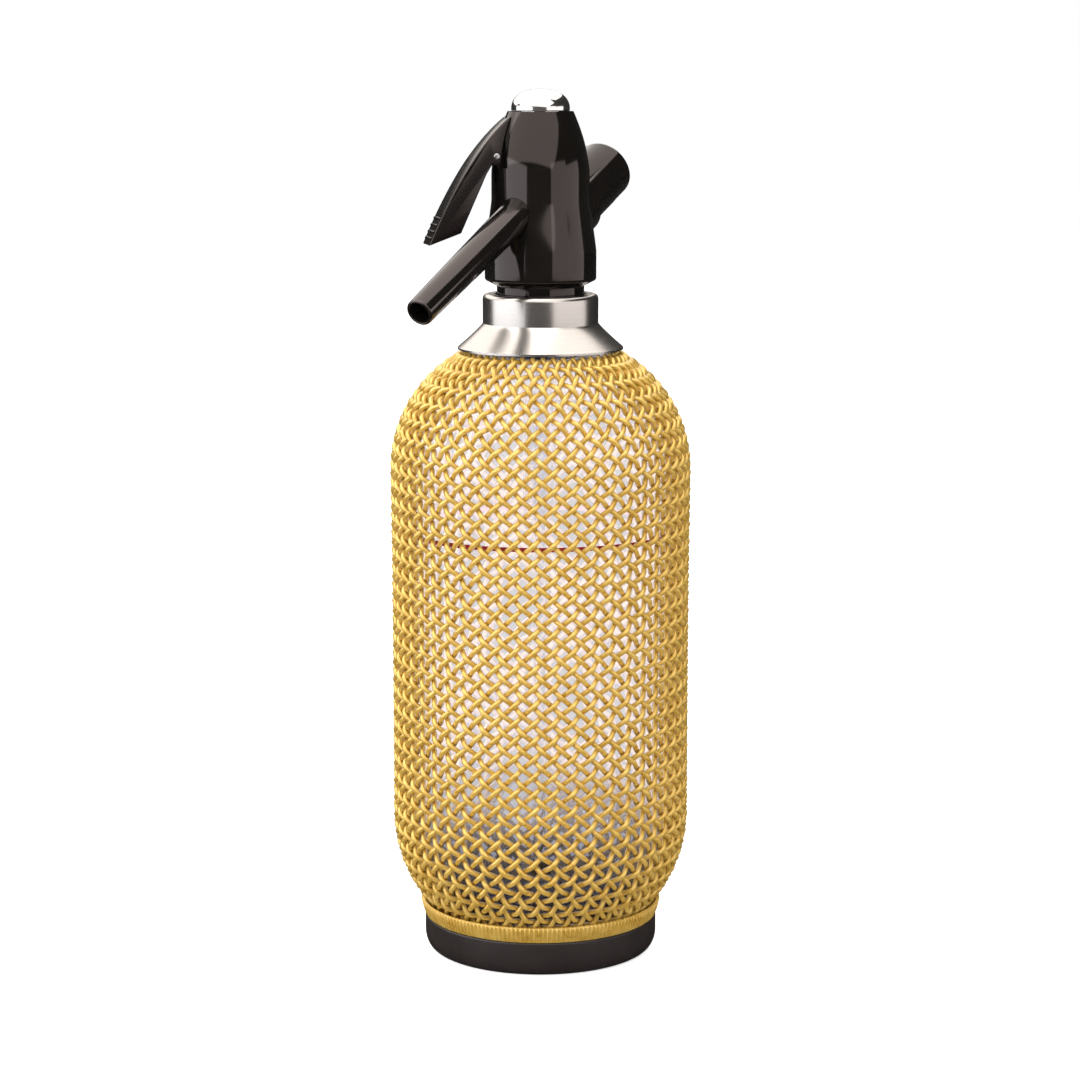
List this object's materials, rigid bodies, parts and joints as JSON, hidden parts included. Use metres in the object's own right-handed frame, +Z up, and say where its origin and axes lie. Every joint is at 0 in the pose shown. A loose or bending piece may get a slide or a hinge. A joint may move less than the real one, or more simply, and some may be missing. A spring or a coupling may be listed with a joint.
{
  "type": "soda siphon",
  "caption": "Refillable soda siphon: glass bottle in a woven wire sleeve, screwed head with squeeze lever and sprung valve, sloping spout, gas charger holder, steel collar and black foot.",
  "frame": {"origin": "centre of the flat pad in the middle of the foot's underside, on the surface that the siphon stands on", "axes": "+Z up along the bottle's axis; the spout points to -Y and the charger holder to +Y; the lever lies at 45 degrees between -X and -Y"},
  "size_m": [0.1104, 0.1346, 0.3211],
  "materials": {
    "clear_glass": "clear, thick",
    "gold_wire": "bright gold-coloured woven wire",
    "gold_band": "ribbed, bright",
    "foot_plastic": "satin black",
    "steel": "brushed round the axis",
    "head_plastic": "glossy black",
    "chrome": "polished",
    "inner_plastic": "plain moulded",
    "seal_rubber": "matt",
    "gasket_rubber": "matt, pale",
    "valve_rubber": "matt red",
    "valve_brass": "turned",
    "spring_steel": "drawn wire",
    "bulb_steel": "satin plated steel",
    "tube_plastic": "translucent",
    "red_line": "thin line of red enamel on the glass"
  },
  "bodies": {
    "bottle": {"glass_bottle": "clear_glass", "mesh_wires_left": "gold_wire", "mesh_wires_right": "gold_wire", "mesh_foot_band": "gold_band", "foot_ring": "foot_plastic", "neck_collar": "steel", "collar_insert": "inner_plastic"},
    "gasket": {"head_gasket": "gasket_rubber"},
    "head": {"head_housing": "head_plastic", "top_cap": "chrome", "top_cap_seal": "seal_rubber", "valve_spring": "spring_steel", "valve_seat": "inner_plastic", "lever_pin": "spring_steel", "spout": "head_plastic", "spout_seal": "seal_rubber", "piercing_pin": "valve_brass", "charger_gasket": "seal_rubber", "riser_tube": "tube_plastic", "measuring_tube": "tube_plastic", "tube_adapter": "inner_plastic"},
    "valve": {"valve_piston": "valve_brass", "valve_disc": "valve_rubber", "piston_o_ring": "seal_rubber"},
    "lever": {"dispensing_lever": "head_plastic"},
    "bulb": {"charger_bulb": "bulb_steel"},
    "holder": {"charger_holder": "head_plastic"}
  },
  "joints": [
    {"name": "head_lift", "type": "slide", "parent": "bottle", "child": "gasket", "axis": [0, 0, 1], "range_m": [0, 0.009]},
    {"name": "head_unscrew", "type": "hinge", "parent": "gasket", "child": "head", "pos_m": [0, 0, 0.24], "axis": [0, 0, 1], "range_deg": [0, 810.1]},
    {"name": "valve_lift", "type": "slide", "parent": "head", "child": "valve", "axis": [0, 0, 1], "range_m": [0, 0.00332], "deforming": ["valve_spring"]},
    {"name": "lever_squeeze", "type": "hinge", "parent": "head", "child": "lever", "pos_m": [-0.01245, -0.01245, 0.29696], "axis": [0.7071, -0.7071, 0], "range_deg": [0, 14], "stiffness_Nm_per_rad": 0.6, "springref_deg": -14.32},
    {"name": "charger_feed", "type": "slide", "parent": "head", "child": "bulb", "axis": [0, 0.891, 0.454], "range_m": [0, 0.0105]},
    {"name": "holder_unscrew", "type": "hinge", "parent": "bulb", "child": "holder", "pos_m": [0, 0.02138, 0.27896], "axis": [0, 0.891, 0.454], "range_deg": [0, 1260.1]}
  ],
  "couplings": [
    {"joint": "head_unscrew", "follows": "head_lift", "rad_per_m": 1570.8},
    {"joint": "lever_squeeze", "follows": "valve_lift", "rad_per_m": 73.529},
    {"joint": "holder_unscrew", "follows": "charger_feed", "rad_per_m": 2094.4}
  ]
}
